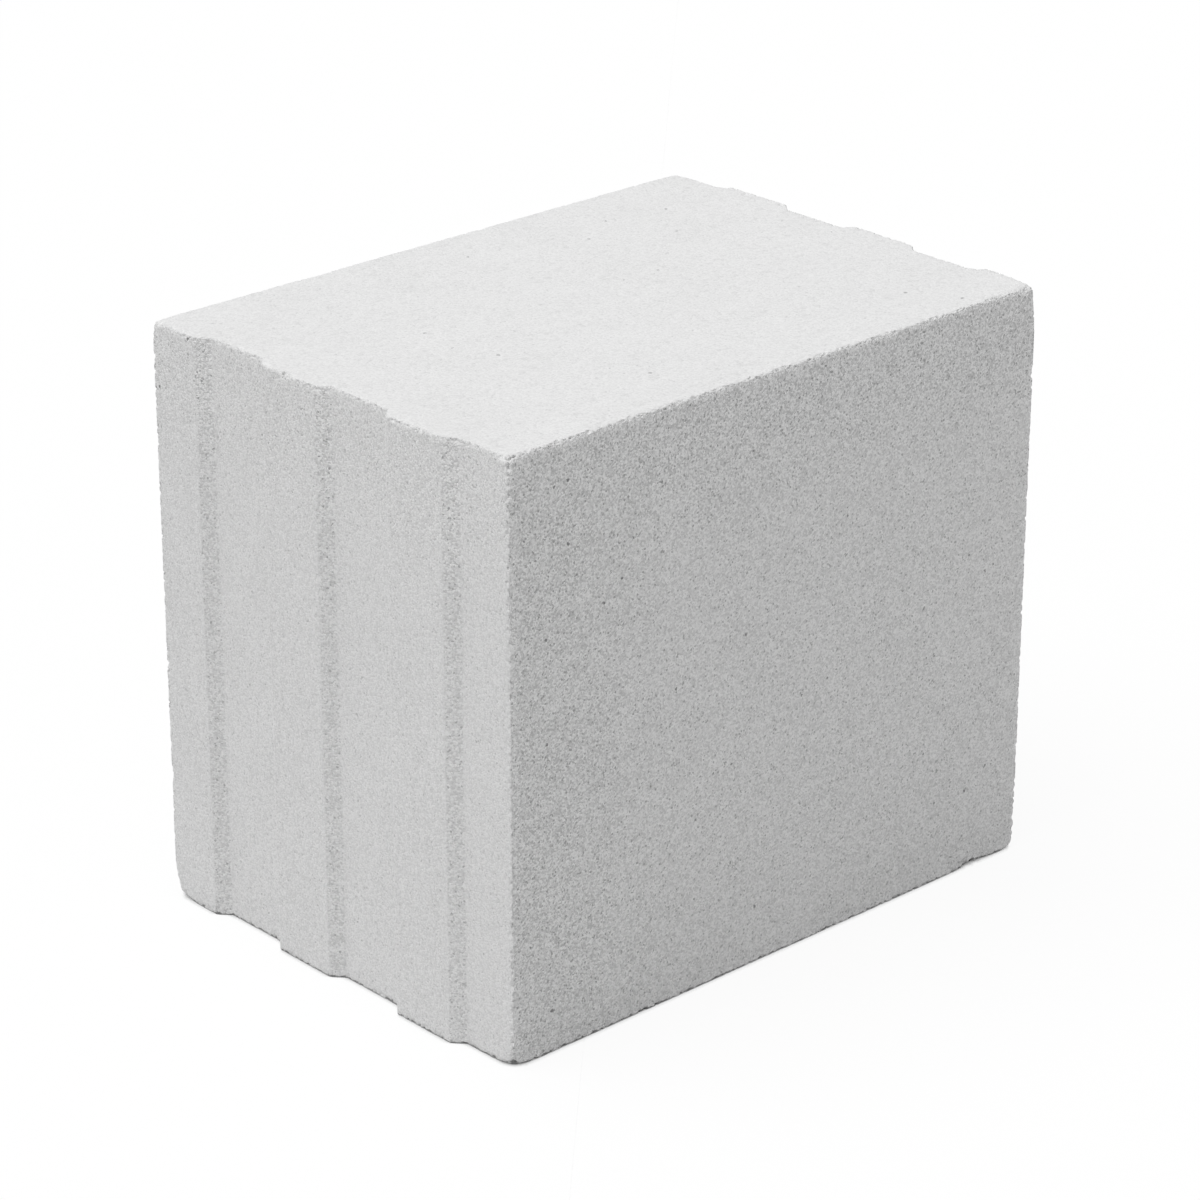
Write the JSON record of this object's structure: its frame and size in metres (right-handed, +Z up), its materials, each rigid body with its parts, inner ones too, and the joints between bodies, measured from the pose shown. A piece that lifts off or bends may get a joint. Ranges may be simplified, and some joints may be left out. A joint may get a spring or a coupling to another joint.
{
  "type": "calcium silicate block",
  "caption": "Solid sand-lime wall block with tongue-and-groove ends that key each block to the next along a course.",
  "frame": {"origin": "middle of the underside's bounding box, on the floor the block lies on", "axes": "+X along the wall from one keyed end to the other, +Y through the wall's thickness, +Z up the course height"},
  "size_m": [0.252, 0.18, 0.22],
  "materials": {
    "sand_lime": "matt, fine sandy grain, steam-cured sand and lime, pale neutral grey-white"
  },
  "bodies": {
    "root": {"block": "sand_lime"}
  },
  "joints": []
}
